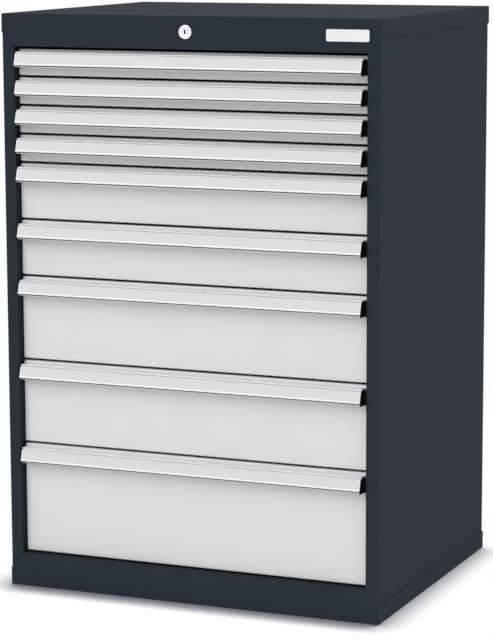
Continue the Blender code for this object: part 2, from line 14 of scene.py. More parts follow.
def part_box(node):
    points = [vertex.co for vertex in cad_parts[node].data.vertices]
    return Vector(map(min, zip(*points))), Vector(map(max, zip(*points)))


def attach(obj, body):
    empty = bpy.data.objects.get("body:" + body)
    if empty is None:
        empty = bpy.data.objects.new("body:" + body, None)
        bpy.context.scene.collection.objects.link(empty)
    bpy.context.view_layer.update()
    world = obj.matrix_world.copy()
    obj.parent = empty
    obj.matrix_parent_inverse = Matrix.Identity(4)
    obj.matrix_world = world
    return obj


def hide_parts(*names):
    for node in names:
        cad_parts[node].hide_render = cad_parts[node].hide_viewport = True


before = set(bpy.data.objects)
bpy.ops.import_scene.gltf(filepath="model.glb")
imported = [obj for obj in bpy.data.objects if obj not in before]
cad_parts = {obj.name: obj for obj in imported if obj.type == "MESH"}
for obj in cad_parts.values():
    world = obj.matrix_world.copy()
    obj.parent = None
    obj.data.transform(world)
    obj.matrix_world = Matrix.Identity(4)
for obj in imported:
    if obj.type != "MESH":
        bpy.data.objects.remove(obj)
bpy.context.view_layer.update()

SIDES = ((1, "right"), (-1, "left"))
DRAWERS = range(1, 10)

# Fits: the gap between touching pieces, a seam's visible gap, and what keeps two faces off one plane
FIT = 0.0003
SEAM = 0.0006
SEAT = 0.00003
CUT_OVERRUN = 0.004
MERGE_DISTANCE = 0.00001

# Body
BODY_SHEET = 0.0015
BODY_BEND = 0.002
BEND_STEPS = 6
POST_WIDTH = 0.0245
POST_RETURN = 0.0235
LID_SKIRT = 0.0314
BASE_SKIRT = 0.031
EDGE_RETURN = 0.020
REAR_FLANGE = 0.022
RIVET_RADIUS = 0.0032
RIVET_RISE = 0.0014
RIVET_PITCH = 0.125
RIVET_END = 0.060
RIVET_STEPS = 16

# Drawer fronts
PAN_SHEET = 0.0012
PAN_BEND = 0.0028

# Strip handle: its corners as shares of how far it stands out and drops, each with its round as a share
HANDLE_DROP = 0.026
HANDLE_ROUND = 0.001
HANDLE_CORNER_SHARES = (
    (0, 0.385, 0),
    (0, 0, 0.3),
    (0.723, 0, 0.5),
    (0.734, 0.038, 0.2),
    (0.600, 0.045, 0),
    (0.600, 0.095, 0),
    (0.783, 0.119, 0.3),
    (0.963, 0.777, 0),
    (0.985, 0.754, 0.1),
    (1, 0.792, 0.4),
    (0.996, 0.858, 0.5),
    (0.955, 0.882, 0),
    (0.850, 0.886, 0),
    (0.850, 0.942, 0),
    (0.930, 0.948, 0.2),
    (0.831, 1, 0.3),
    (0.775, 1, 0),
    (0.775, 0.846, 0),
    (0.900, 0.820, 0),
    (0.885, 0.769, 0),
    (0.727, 0.165, 0),
    (0.540, 0.150, 0),
    (0.540, 0.062, 0),
    (0.060, 0.062, 0.5),
    (0.060, 0.385, 0),
)

# Label card: it lies in the slanted face, between that face's two ends
FACE_TOP_SHARES = (0.783, 0.119)
FACE_END_SHARES = (0.963, 0.777)
CARD_INSET_SHARE = 0.02
CARD_SHEET = 0.0005
CARD_END_INSET = 0.0022

# End cap: a plug inside the handle, a cap over its end, and an ear that reaches the front's edge
END_CAP_WIDTH = 0.005
END_CAP_LIP = 0.001
END_CAP_EAR = 0.0036
PLUG_SHARES = (
    (0.070, 0.070),
    (0.532, 0.070),
    (0.532, 0.160),
    (0.716, 0.175),
    (0.870, 0.775),
    (0.765, 0.835),
    (0.765, 0.990),
    (0.012, 0.990),
    (0.012, 0.400),
    (0.070, 0.400),
)
CAP_SHARES = (
    (0.012, 0.085),
    (0.640, 0.085),
    (0.690, 0.125),
    (0.765, 0.145),
    (0.940, 0.790),
    (0.972, 0.800),
    (0.985, 0.860),
    (0.940, 0.960),
    (0.960, 1.073),
    (0.012, 1.073),
)
EAR_SHARES = ((0.012, 0.085), (0.345, 0.085), (0.345, 1.073), (0.012, 1.073))
# A black strip in the groove under the lower bead: painted shade for the dark underside of the handle's lip
PAINTED_SHADE_STRIP_SHARES = ((0.845, 0.888), (0.925, 0.892), (0.925, 0.940), (0.845, 0.938))

# Trays
TRAY_SHEET = 0.0012
TRAY_TOP_DROP = 0.007
TRAY_RAIL_RISE = 0.004
SLOT_PITCH = 0.017
SLOT_WIDTH = 0.005
SLOT_ROUND = 0.0023
SLOT_MARGIN = 0.008
HEM_WIDTH = 0.0026
HEM_HEIGHT = 0.006
HEM_ROUND = HEM_WIDTH / 3

# Lug that the locking bar holds: its place behind the front, and its foot and head below the top line
LUG_SHEET = 0.002
LUG_START = 0.0268
LUG_DROPS = (0.012, 0.008)

# Slides
TRAVEL = 0.450
OPENING_HALF = 0.3265
RUNNER_CLEARANCE = 0.001
MEMBER_SHEET = 0.0015
MEMBER_GAP = 0.0005
SLIDE_HEIGHT = 0.028
SLIDE_START = 0.033
RUNNER_HEIGHT = 0.020
ROLLER_WIDTH = 0.0095
ROLLER_GAP = 0.0003
ROLLER_SIDE_GAP = 0.0014
ROLLER_EDGE = 0.0008
ROLLER_HUB = 0.0045
ROLLER_DISH = 0.0012
ROLLER_STEPS = 32
PIN_RADIUS = 0.0026
PIN_DOME = 0.0008
PIN_STEPS = 16

# Lock
COLLAR_RADIUS = 0.012
COLLAR_HEIGHT = 0.0025
COLLAR_RING = 0.0024
COLLAR_DISH = 0.0014
COLLAR_EDGE = 0.0008
HOUSING_RADIUS = 0.009
# A thin black ring round the collar: painted shade for the shadow gap at its rim
SHADE_RING_WIDTH = 0.0015
SHADE_RING_SHEET = 0.0003
BARREL_RADIUS = 0.0065
BARREL_EDGE = 0.0006
BARREL_DISH = 0.0003
KEYWAY_WIDTH = 0.0034
KEYWAY_LENGTH = 0.0074
KEYWAY_DEPTH = 0.0012
# A thin black sheet at the keyway's floor: painted shade for its dark depth
KEYWAY_SHADE_SHEET = 0.0008
LOCK_STEPS = 64

# Small plate on the apron
PLATE_CORNER = 0.003
PLATE_EDGE = 0.0003
PLATE_EDGE_STEPS = 2
PLATE_EDGE_ANGLE = math.radians(60)

# Patterns at the real cabinet's scale
CLOUD_SIZE = 0.07
SPANGLE_SIZE = 0.006
MOTTLE_SIZE = 0.002

# Patterns that are finer on the real cabinet, drawn as coarse as they need to show in the picture
PEEL_SIZE = 0.0012
PEEL_DEPTH = 0.00002
DRAWN_LINE = 0.00025
DRAWN_STRETCH_SHARE = 0.01
MOULD_GRAIN = 0.0005
MOULD_DEPTH = 0.00001

# How far the roughness of each kind of surface drifts either way, and the roughness of a clear cover
PAINT_DRIFT = 0.04
DRAWN_DRIFT = 0.07
PLATING_DRIFT = 0.05
COVER_ROUGHNESS = 0.08

# Folds sharper than this keep a crisp edge, and the rounds between flat faces are shaded smooth
SHARP_ANGLE = math.radians(30)

# Photograph's camera: its turn and climb from straight ahead, its roll, and the point that it looks at
CAMERA_TURN = math.radians(23.127)
CAMERA_CLIMB = math.radians(9.279)
CAMERA_ROLL = math.radians(-0.204)
CAMERA_DISTANCE = 4.587
CAMERA_TARGET = (-0.0126, 0.007, 0.458)
FOCAL_PIXELS = 2518.6
FRAME_PIXELS = 640
SENSOR = 36

# Floor, and the shade where the cabinet meets it
FLOOR_HALF = 12
FLOOR_DROP = 0.0005
FLOOR_COLOUR = "fcfcfc"
CONTACT_REACH = 0.055
CONTACT_LEAN = {"Y": 0.57, "Z": 0.82}
CONTACT_COLOUR = "70707a"
CONTACT_START_SHARE = 0.42
CONTACT_SAMPLES = 8

# Light: the room's even light, and each softbox's place, what it faces, its side and its power
ROOM_LIGHT = 0.5
BODY_MIDDLE = (0, 0, 0.5)
LID_MIDDLE = (0, 0, 1)
SOFTBOXES = {
    "key_softbox": ((-9.6, -19.2, 16.4), BODY_MIDDLE, 20, 3700),
    "side_softbox": ((24, 6, 6), BODY_MIDDLE, 12, 2850),
    "top_softbox": ((0, 0, 6), LID_MIDDLE, 3, 45),
}

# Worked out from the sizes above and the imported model
FRONT_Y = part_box("top_cover")[0].y
BODY_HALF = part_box("top_cover")[1].x
POST_INNER = BODY_HALF - POST_WIDTH
ROLLER_RADIUS = SLIDE_HEIGHT / 2 - MEMBER_SHEET - ROLLER_GAP
ROLLER_OUTER = OPENING_HALF - RUNNER_CLEARANCE
RUNNER_OUTER = ROLLER_OUTER - ROLLER_WIDTH
RUNNER_INNER = RUNNER_OUTER - MEMBER_SHEET
RAIL_WEB = RUNNER_INNER - ROLLER_WIDTH - ROLLER_SIDE_GAP - MEMBER_SHEET
HOUSING_LOW, HOUSING_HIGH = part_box("lock_housing")
LOCK_CENTRE = (HOUSING_LOW + HOUSING_HIGH) / 2
LOCK_CENTRE.y = FRONT_Y


def linear_channel(channel):
    share = channel / 255
    return share / 12.92 if share <= 0.04045 else ((share + 0.055) / 1.055) ** 2.4


def linear(hex_code):
    """An sRGB colour such as '31383f' as a linear colour for a shader."""
    channels = [int(hex_code[at : at + 2], 16) for at in (0, 2, 4)]
    return (*[linear_channel(channel) for channel in channels], 1)


def node(tree, kind, inputs=None, **settings):
    """Adds a node. An input takes a value, or another node's output to link from."""
    made = tree.nodes.new(kind)
    for name, value in settings.items():
        setattr(made, name, value)
    for name, value in (inputs or {}).items():
        if isinstance(value, bpy.types.NodeSocket):
            tree.links.new(value, made.inputs[name])
        else:
            made.inputs[name].default_value = value
    return made


def new_finish(name):
    """An empty material and its node tree."""
    finish = bpy.data.materials.new(name)
    finish.use_nodes = True
    finish.node_tree.nodes.clear()
    return finish, finish.node_tree


def shade_by_pattern(tree, pattern, colours, roughness, drift, more):
    """A tone and a gloss that follow a pattern. More holds what the shader takes besides, and a gloss that
    doesn't drift is set on the shader itself."""
    low, high = [linear(colour) for colour in colours]
    # A colour Mix node takes its factor at 0 and its colours at 6 and 7, and gives the mixed colour at 2
    tone = node(tree, "ShaderNodeMix", {0: pattern, 6: low, 7: high}, data_type="RGBA").outputs[2]
    gloss = roughness
    if drift:
        ends = {"Value": pattern, "To Min": roughness - drift, "To Max": roughness + drift}
        gloss = node(tree, "ShaderNodeMapRange", ends).outputs["Result"]
    shader = node(tree, "ShaderNodeBsdfPrincipled", {"Base Color": tone, "Roughness": gloss, **more})
    node(tree, "ShaderNodeOutputMaterial", {"Surface": shader.outputs["BSDF"]})


def powder_coat(name, colours, roughness, specular):
    """Powder paint: fine orange peel in the sheen, with a tone and a gloss that drift across a panel."""
    finish, tree = new_finish(name)
    place = node(tree, "ShaderNodeTexCoord").outputs["Object"]
    cloud = node(tree, "ShaderNodeTexNoise", {"Vector": place, "Scale": 1 / CLOUD_SIZE}).outputs["Fac"]
    grains = {"Vector": place, "Scale": 1 / PEEL_SIZE, "Detail": 0.0}
    peel = node(tree, "ShaderNodeTexNoise", grains).outputs["Fac"]
    bumps = node(tree, "ShaderNodeBump", {"Height": peel, "Distance": PEEL_DEPTH}).outputs["Normal"]
    more = {"Specular IOR Level": specular, "Normal": bumps}
    shade_by_pattern(tree, cloud, colours, roughness, PAINT_DRIFT, more)
    return finish


def drawn_metal(name, colours, roughness, metallic):
    """Metal drawn through a die: fine lines along X in its tone and gloss."""
    finish, tree = new_finish(name)
    place = node(tree, "ShaderNodeTexCoord").outputs["Object"]
    drawn = node(tree, "ShaderNodeMapping", {"Vector": place, "Scale": (DRAWN_STRETCH_SHARE, 1, 1)})
    streaks = {"Vector": drawn.outputs["Vector"], "Scale": 1 / DRAWN_LINE, "Detail": 1.0}
    lines = node(tree, "ShaderNodeTexNoise", streaks).outputs["Fac"]
    shade_by_pattern(tree, lines, colours, roughness, DRAWN_DRIFT, {"Metallic": metallic})
    return finish


def plated_metal(name, colours, roughness, patch_size):
    """Plated metal: soft patches in its tone and gloss."""
    finish, tree = new_finish(name)
    place = node(tree, "ShaderNodeTexCoord").outputs["Object"]
    scaled = {"Vector": place, "Scale": 1 / patch_size}
    cells = node(tree, "ShaderNodeTexVoronoi", scaled, feature="SMOOTH_F1").outputs["Color"]
    patches = node(tree, "ShaderNodeSeparateColor", {"Color": cells}).outputs["Red"]
    shade_by_pattern(tree, patches, colours, roughness, PLATING_DRIFT, {"Metallic": 1.0})
    return finish


def moulded_plastic(name, colours, roughness, specular=0.5, coat=0.0):
    """Moulded plastic: the fine grain of a spark-eroded mould, and a clear layer over it where it has one."""
    finish, tree = new_finish(name)
    place = node(tree, "ShaderNodeTexCoord").outputs["Object"]
    grain = node(tree, "ShaderNodeTexNoise", {"Vector": place, "Scale": 1 / MOULD_GRAIN}).outputs["Fac"]
    dimples = node(tree, "ShaderNodeBump", {"Height": grain, "Distance": MOULD_DEPTH}).outputs["Normal"]
    more = {
        "Specular IOR Level": specular,
        "Normal": dimples,
        "Coat Weight": coat,
        "Coat Roughness": COVER_ROUGHNESS,
    }
    shade_by_pattern(tree, grain, colours, roughness, 0, more)
    return finish


def dress(names, finish):
    """Gives CAD nodes a finish in place of their packed one."""
    for name in names:
        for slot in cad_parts[name].material_slots:
            slot.material = finish


def add_piece(name, bm, finish):
    """Makes an object with one finish from a bmesh, and frees the bmesh."""
    mesh = bpy.data.meshes.new(name)
    bm.to_mesh(mesh)
    bm.free()
    mesh.materials.append(finish)
    piece = bpy.data.objects.new(name, mesh)
    bpy.context.scene.collection.objects.link(piece)
    return piece


def cut(piece, bm, operation="DIFFERENCE"):
    """Cuts away or joins on a closed shape, which is removed when the piece is baked."""
    cutter = add_piece(piece.name + "_cutter", bm, piece.data.materials[0])
    modifier = piece.modifiers.new(cutter.name, "BOOLEAN")
    modifier.object = cutter
    modifier.operation = operation
    modifier.solver = "EXACT"


def baked_mesh(piece):
    """Turns a piece's modifiers into a plain mesh of its own, and removes the shapes that cut it."""
    graph = bpy.context.evaluated_depsgraph_get()
    mesh = bpy.data.meshes.new_from_object(
        piece.evaluated_get(graph), preserve_all_data_layers=True, depsgraph=graph
    )
    cutters = [modifier.object for modifier in piece.modifiers if modifier.type == "BOOLEAN"]
    piece.modifiers.clear()
    bare = piece.data
    piece.data = mesh
    bpy.data.meshes.remove(bare)
    mesh.name = piece.name
    for cutter in cutters:
        bpy.data.objects.remove(cutter)
    return mesh


def settle(piece, body, slot, *nodes):
    """Bakes a piece, smooths its rounds between flat faces, and hands it to its body."""
    mesh = baked_mesh(piece)
    mesh.shade_smooth()
    mesh.set_sharp_from_angle(angle=SHARP_ANGLE)
    weighted = piece.modifiers.new("Even shading", "WEIGHTED_NORMAL")
    weighted.keep_sharp = True
    baked_mesh(piece)
    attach(piece, body)
    if nodes:
        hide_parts(*nodes)


def along_x(depth, height, width):
    """Places a section of depths and heights that is swept across the cabinet's width."""
    return (width, depth, height)


def along_y(width, height, depth):
    """Places a section of widths and heights that is swept along the cabinet's depth."""
    return (width, depth, height)


def along_z(width, depth, height):
    """Places a section of widths and depths that is swept up the cabinet's height."""
    return (width, depth, height)


def mirrored(place, side):
    """The same placing on the cabinet's left when side is -1."""

    def placed(across, up, along):
        x, y, z = place(across, up, along)
        return (side * x, y, z)

    return placed


def rounded_outline(corners, closed=True):
    """An outline whose corners, each a point with a radius, become arcs."""
    points = []
    for index, (corner, radius) in enumerate(corners):
        corner = Vector(corner)
        if radius == 0 or (not closed and index in (0, len(corners) - 1)):
            points.append(corner)
            continue
        before = (Vector(corners[index - 1][0]) - corner).normalized()
        after = (Vector(corners[(index + 1) % len(corners)][0]) - corner).normalized()
        half = before.angle(after) / 2
        middle = corner + (before + after).normalized() * radius / math.sin(half)
        start = corner + before * radius / math.tan(half) - middle
        end = corner + after * radius / math.tan(half) - middle
        points += [middle + start.slerp(end, step / BEND_STEPS) * radius for step in range(BEND_STEPS + 1)]
    return points


def sheet_outline(path, bend, thickness):
    """A folded sheet's closed section: a path with rounded folds, and its copy a thickness to the left."""
    outer = rounded_outline([(corner, bend) for corner in path], closed=False)
    normals = []
    for start, end in zip(outer, outer[1:]):
        run = (end - start).normalized()
        normals.append(Vector((-run.y, run.x)))
    inner = []
    for index, point in enumerate(outer):
        before = normals[max(index - 1, 0)]
        after = normals[min(index, len(normals) - 1)]
        inner.append(point + (before + after) * thickness / (1 + before.dot(after)))
    return outer + inner[::-1]


def add_prism(bm, outline, place, start, end):
    """A closed outline swept from start to end."""
    near, far = [[bm.verts.new(place(u, v, w)) for u, v in outline] for w in (start, end)]
    faces = [bm.faces.new((near[i - 1], near[i], far[i], far[i - 1])) for i in range(len(outline))]
    faces += [bm.faces.new(near), bm.faces.new(far)]
    bmesh.ops.recalc_face_normals(bm, faces=faces)


def add_block(bm, low, high):
    """A box from its low corner to its high one."""
    low, high = Vector(low), Vector(high)
    place = Matrix.Translation((low + high) / 2) @ Matrix.Diagonal((*(high - low), 1))
    bmesh.ops.create_cube(bm, size=1, matrix=place)


def add_turned(bm, profile, centre, axis, steps):
    """A profile of (radius, height) points turned about an axis through a centre."""
    axis = Vector(axis)
    across = axis.orthogonal().normalized()
    verts = [bm.verts.new(Vector(centre) + across * radius + axis * height) for radius, height in profile]
    edges = [bm.edges.new(pair) for pair in zip(verts, verts[1:])]
    bmesh.ops.spin(bm, geom=verts + edges, cent=centre, axis=axis, angle=math.tau, steps=steps)
    bmesh.ops.remove_doubles(bm, verts=bm.verts, dist=MERGE_DISTANCE)
    bmesh.ops.recalc_face_normals(bm, faces=bm.faces)


def open_box(low, high, open_side):
    """A box of faces without the one that looks along open_side."""
    bm = bmesh.new()
    add_block(bm, low, high)
    bm.normal_update()
    gone = [face for face in bm.faces if face.normal.dot(Vector(open_side)) > 0.5]
    bmesh.ops.delete(bm, geom=gone, context="FACES")
    return bm


def fold_and_thicken(piece, bend, thickness):
    """Rounds the folds of an open sheet and gives it its thickness, inwards."""
    folds = piece.modifiers.new("Folds", "BEVEL")
    folds.width = bend
    folds.segments = BEND_STEPS
    folds.limit_method = "ANGLE"
    sheet = piece.modifiers.new("Sheet", "SOLIDIFY")
    sheet.thickness = thickness
    sheet.offset = -1
    sheet.use_even_offset = True


def make_end_shell(node_name, skirt_height, up):
    """The lid (up is -1) or the base (1): a folded tray whose deep front wall is mitred to the posts."""
    low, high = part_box(node_name)
    outer_z, front_z = (low.z, high.z) if up > 0 else (high.z, low.z)
    skirt_z = outer_z + up * skirt_height
    past_z = front_z + up * CUT_OVERRUN
    past_x = BODY_HALF + CUT_OVERRUN
    shell = add_piece(node_name + "_shell", open_box(low, high, (0, 0, up)), anthracite)
    # The sheet is thicker by nearly the fit, so that no light comes through the seam with the side panels
    fold_and_thicken(shell, BODY_BEND, BODY_SHEET + FIT - SEAT)

    # Behind the front wall the shell is only as deep as its skirt
    from_z, to_z = sorted((skirt_z, past_z))
    behind = bmesh.new()
    add_block(
        behind,
        (-past_x, FRONT_Y + BODY_SHEET + FIT, from_z),
        (past_x, high.y + CUT_OVERRUN, to_z),
    )
    cut(shell, behind)

    # The front wall's ends slope from the posts' inner edges to the skirt
    mitre_z = skirt_z + up * FIT
    edge_z = mitre_z + (mitre_z - front_z) * CUT_OVERRUN / POST_WIDTH
    slope = [(POST_INNER, front_z), (past_x, edge_z), (past_x, past_z), (POST_INNER, past_z)]
    for side, _ in SIDES:
        mitre = bmesh.new()
        place = mirrored(along_y, side)
        add_prism(mitre, slope, place, FRONT_Y - CUT_OVERRUN, FRONT_Y + BODY_SHEET + CUT_OVERRUN)
        cut(shell, mitre)

    # The front wall's free edge is folded back
    from_z, to_z = sorted((front_z - up * FIT, front_z - up * (FIT + BODY_SHEET)))
    edge = bmesh.new()
    add_block(
        edge,
        (FIT - POST_INNER, FRONT_Y + BODY_SHEET / 2, from_z),
        (POST_INNER - FIT, FRONT_Y + EDGE_RETURN, to_z),
    )
    cut(shell, edge, "UNION")
    return shell


def make_lid():
    """The lid's shell, with the hole for the lock in its apron."""
    shell = make_end_shell("top_cover", LID_SKIRT, -1)
    centre = LOCK_CENTRE + Vector((0, BODY_SHEET / 2, 0))
    radius = HOUSING_RADIUS + FIT
    bore = [(0, CUT_OVERRUN), (radius, CUT_OVERRUN), (radius, -CUT_OVERRUN), (0, -CUT_OVERRUN)]
    bm = bmesh.new()
    add_turned(bm, bore, centre, (0, 1, 0), LOCK_STEPS)
    cut(shell, bm)
    settle(shell, "cabinet", "anthracite_paint", "top_cover")


def make_base():
    settle(make_end_shell("base_tray", BASE_SKIRT, 1), "cabinet", "anthracite_paint", "base_tray")


def make_side_panel(side, hand):
    """A side wall folded round into the front post and its return, and into a rear flange."""
    low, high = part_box(f"{hand}_side_panel")
    lid_low, lid_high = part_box("top_cover")
    base_low, base_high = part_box("base_tray")
    outer = max(abs(low.x), abs(high.x))
    path = [
        (POST_INNER, low.y + POST_RETURN),
        (POST_INNER, low.y),
        (outer, low.y),
        (outer, high.y),
        (outer - REAR_FLANGE, high.y),
    ]
    bm = bmesh.new()
    add_prism(bm, sheet_outline(path, BODY_BEND, BODY_SHEET), mirrored(along_z, side), low.z, high.z)
    panel = add_piece(f"{hand}_side_sheet", bm, anthracite)

    # The post's ends are cut along the lid's and the base's mitres: heights at the post's inner edge, at
    # the cabinet's corner and past the panel's end
    past_x = BODY_HALF + CUT_OVERRUN
    for inner_z, corner_z, past_z in (
        (lid_low.z - SEAM, lid_high.z - LID_SKIRT - SEAM, lid_high.z + CUT_OVERRUN),
        (base_high.z + SEAM, base_low.z + BASE_SKIRT + SEAM, base_low.z - CUT_OVERRUN),
    ):
        slope = (corner_z - inner_z) / POST_WIDTH
        outline = [
            (POST_INNER - CUT_OVERRUN, inner_z),
            (POST_INNER, inner_z),
            (past_x, inner_z + slope * (past_x - POST_INNER)),
            (past_x, past_z),
            (POST_INNER - CUT_OVERRUN, past_z),
        ]
        mitre = bmesh.new()
        add_prism(mitre, outline, mirrored(along_y, side), low.y - CUT_OVERRUN, low.y + BODY_SHEET + FIT)
        cut(panel, mitre)
    settle(panel, "cabinet", "anthracite_paint", f"{hand}_side_panel")


def repeater():
    """A node group that repeats a piece's own mesh along a line and gives the copies its finish."""
    group = bpy.data.node_groups.new("row_of_copies", "GeometryNodeTree")
    for name, kind in (
        ("Geometry", "NodeSocketGeometry"),
        ("Count", "NodeSocketInt"),
        ("Step", "NodeSocketVector"),
        ("Merge distance", "NodeSocketFloat"),
        ("Finish", "NodeSocketMaterial"),
    ):
        group.interface.new_socket(name=name, in_out="INPUT", socket_type=kind)
    group.interface.new_socket(name="Geometry", in_out="OUTPUT", socket_type="NodeSocketGeometry")
    given = node(group, "NodeGroupInput").outputs
    line = node(group, "GeometryNodeMeshLine", {"Count": given["Count"], "Offset": given["Step"]})
    copied = {"Points": line.outputs["Mesh"], "Instance": given["Geometry"]}
    copies = node(group, "GeometryNodeInstanceOnPoints", copied).outputs["Instances"]
    real = node(group, "GeometryNodeRealizeInstances", {"Geometry": copies}).outputs["Geometry"]
    merging = {"Geometry": real, "Distance": given["Merge distance"]}
    joined = node(group, "GeometryNodeMergeByDistance", merging).outputs["Geometry"]
    finished = {"Geometry": joined, "Material": given["Finish"]}
    dressed = node(group, "GeometryNodeSetMaterial", finished).outputs["Geometry"]
    node(group, "NodeGroupOutput", {"Geometry": dressed})
    return group


def repeat(piece, count, step):
    """Puts a row of copies on a piece, each a step further than the one before."""
    modifier = piece.modifiers.new("Row", "NODES")
    modifier.node_group = row_of_copies
    values = {
        "Count": count,
        "Step": step,
        "Merge distance": MERGE_DISTANCE,
        "Finish": piece.data.materials[0],
    }
    for item in row_of_copies.interface.items_tree:
        if item.name in values:
            modifier[item.identifier] = values[item.name]


def make_rear_rivets(side, hand):
    """The heads of the blind rivets that hold the back panel to a side wall's rear flange."""
    low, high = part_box(f"{hand}_side_panel")
    outer = max(abs(low.x), abs(high.x))
    count = int((high.z - low.z - 2 * RIVET_END) / RIVET_PITCH) + 1
    first_z = (low.z + high.z) / 2 - (count - 1) * RIVET_PITCH / 2
    centre = (side * (outer - REAR_FLANGE / 2), high.y, first_z)
    turns = [math.pi / 2 * step / BEND_STEPS for step in range(BEND_STEPS + 1)]
    dome = [(RIVET_RADIUS * math.sin(turn), RIVET_RISE * math.cos(turn)) for turn in turns]
    bm = bmesh.new()
    add_turned(bm, [*dome, (RIVET_RADIUS, -FIT), (0, -FIT)], centre, (0, 1, 0), RIVET_STEPS)
    rivets = add_piece(f"{hand}_rear_rivets", bm, zinc)
    repeat(rivets, count, (0, 0, RIVET_PITCH))
    settle(rivets, "cabinet", "zinc_plate")


def make_front(number):
    """A folded pan with round edges, open at the back."""
    node_name = f"drawer_{number}_front"
    low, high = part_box(node_name)
    pan = add_piece(f"drawer_{number}_pan", open_box(low, high, (0, 1, 0)), light_grey)
    fold_and_thicken(pan, PAN_BEND, PAN_SHEET)
    settle(pan, f"drawer_{number}", "light_grey_paint", node_name)


def make_handle(number):
    """The aluminium strip, its label card under a clear cover, a black cap in each end, and a black strip of
    painted shade under its lower bead.
    """
    body = f"drawer_{number}"
    node_name = f"drawer_{number}_handle"
    low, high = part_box(node_name)
    reach = high.y - low.y
    strip_start, strip_end = low.x + END_CAP_LIP, high.x - END_CAP_LIP

    def corner(out_share, drop_share):
        return Vector((high.y - out_share * reach, high.z - drop_share * HANDLE_DROP))

    section = [(corner(out, drop), rounding * HANDLE_ROUND) for out, drop, rounding in HANDLE_CORNER_SHARES]
    bm = bmesh.new()
    add_prism(bm, rounded_outline(section), along_x, strip_start, strip_end)
    strip = add_piece(f"drawer_{number}_handle_strip", bm, aluminium)
    settle(strip, body, "aluminium", node_name)

    top, end = corner(*FACE_TOP_SHARES), corner(*FACE_END_SHARES)
    run = end - top
    out = Vector((run.y, -run.x)).normalized()
    first, last = top + run * CARD_INSET_SHARE, end - run * CARD_INSET_SHARE
    section = [first + out * SEAT, last + out * SEAT, last + out * CARD_SHEET, first + out * CARD_SHEET]
    bm = bmesh.new()
    add_prism(bm, section, along_x, low.x + CARD_END_INSET, high.x - CARD_END_INSET)
    card = add_piece(f"drawer_{number}_label_strip", bm, label_card)
    settle(card, body, "clear_plastic")

    plug, cap, ear, shade_strip = [
        [corner(*shares) for shares in table] for table in (PLUG_SHARES, CAP_SHARES, EAR_SHARES, PAINTED_SHADE_STRIP_SHARES)
    ]
    bm = bmesh.new()
    for side, _ in SIDES:
        place = mirrored(along_x, side)
        add_prism(bm, plug, place, high.x - END_CAP_WIDTH, strip_end + SEAT)
        add_prism(bm, cap, place, strip_end + SEAT, high.x)
        add_prism(bm, ear, place, high.x, high.x + END_CAP_EAR)
    # The black strip under the lower bead is painted shade, not a part of the handle
    add_prism(bm, shade_strip, along_x, strip_start, strip_end)
    caps = add_piece(f"drawer_{number}_handle_caps_and_painted_shade", bm, black_plastic)
    settle(caps, body, "black_plastic", node_name)


def slot_cell(height):
    """A piece of wall one pitch wide, in x and z from its lower left corner, with an upright slot."""
    middle = Vector((SLOT_PITCH / 2, height / 2))
    half = Vector((SLOT_WIDTH / 2, height / 2 - SLOT_MARGIN))
    ring = []
    for x_sign, z_sign in ((1, 1), (-1, 1), (-1, -1), (1, -1)):
        centre = middle + Vector((x_sign * (half.x - SLOT_ROUND), z_sign * (half.y - SLOT_ROUND)))
        side_point = centre + Vector((x_sign * SLOT_ROUND, 0))
        end_point = centre + Vector((0, z_sign * SLOT_ROUND))
        corner_point = centre + Vector((x_sign, z_sign)).normalized() * SLOT_ROUND
        edge = Vector((middle.x + x_sign * middle.x, middle.y + z_sign * middle.y))
        pairs = [
            (side_point, Vector((edge.x, side_point.y))),
            (corner_point, edge),
            (end_point, Vector((end_point.x, edge.y))),
        ]
        ring += pairs if x_sign * z_sign > 0 else pairs[::-1]
    bm = bmesh.new()
    inner = [bm.verts.new((point.x, 0, point.y)) for point, _ in ring]
    outer = [bm.verts.new((point.x, 0, point.y)) for _, point in ring]
    for index in range(len(ring)):
        bm.faces.new((inner[index - 1], inner[index], outer[index], outer[index - 1]))
    return bm


def slotted_wall(length, height):
    """A wall in x and z with a row of slots in its middle and plain ends, half its sheet to each side."""
    count = int(length / SLOT_PITCH) - 1
    start = (length - count * SLOT_PITCH) / 2
    bm = slot_cell(height)
    bmesh.ops.translate(bm, verts=bm.verts, vec=(start, 0, 0))
    wall = add_piece("tray_wall", bm, light_grey)
    repeat(wall, count, (SLOT_PITCH, 0, 0))
    row = baked_mesh(wall)
    bm = bmesh.new()
    bm.from_mesh(row)
    for x0, x1 in ((0, start), (length - start, length)):
        corners = ((x0, 0, 0), (x1, 0, 0), (x1, 0, height), (x0, 0, height))
        bm.faces.new([bm.verts.new(corner) for corner in corners])
    bmesh.ops.remove_doubles(bm, verts=bm.verts, dist=MERGE_DISTANCE)
    bmesh.ops.recalc_face_normals(bm, faces=bm.faces)
    bm.to_mesh(row)
    bm.free()
    sheet = wall.modifiers.new("Sheet", "SOLIDIFY")
    sheet.thickness = TRAY_SHEET
    sheet.offset = 0
    mesh = baked_mesh(wall)
    bpy.data.objects.remove(wall)
    return mesh


def add_tray_walls(bm, half, low, high):
    """Four slotted walls round a tray: the side walls' middles lie on the rails' webs."""
    length = high.y - low.y
    middle = Matrix.Translation((0, (low.y + high.y) / 2, low.z))
    side_wall = slotted_wall(length, high.z - low.z)
    end_wall = slotted_wall(2 * half, high.z - low.z)
    for mesh, turn, run, away in (
        (side_wall, 90, length, RAIL_WEB),
        (side_wall, -90, length, RAIL_WEB),
        (end_wall, 0, 2 * half, (length - TRAY_SHEET) / 2),
        (end_wall, 180, 2 * half, (length - TRAY_SHEET) / 2),
    ):
        turned = Matrix.Rotation(math.radians(turn), 4, "Z") @ Matrix.Translation((-run / 2, -away, 0))
        placed = mesh.copy()
        placed.transform(middle @ turned)
        bm.from_mesh(placed)
        bpy.data.meshes.remove(placed)


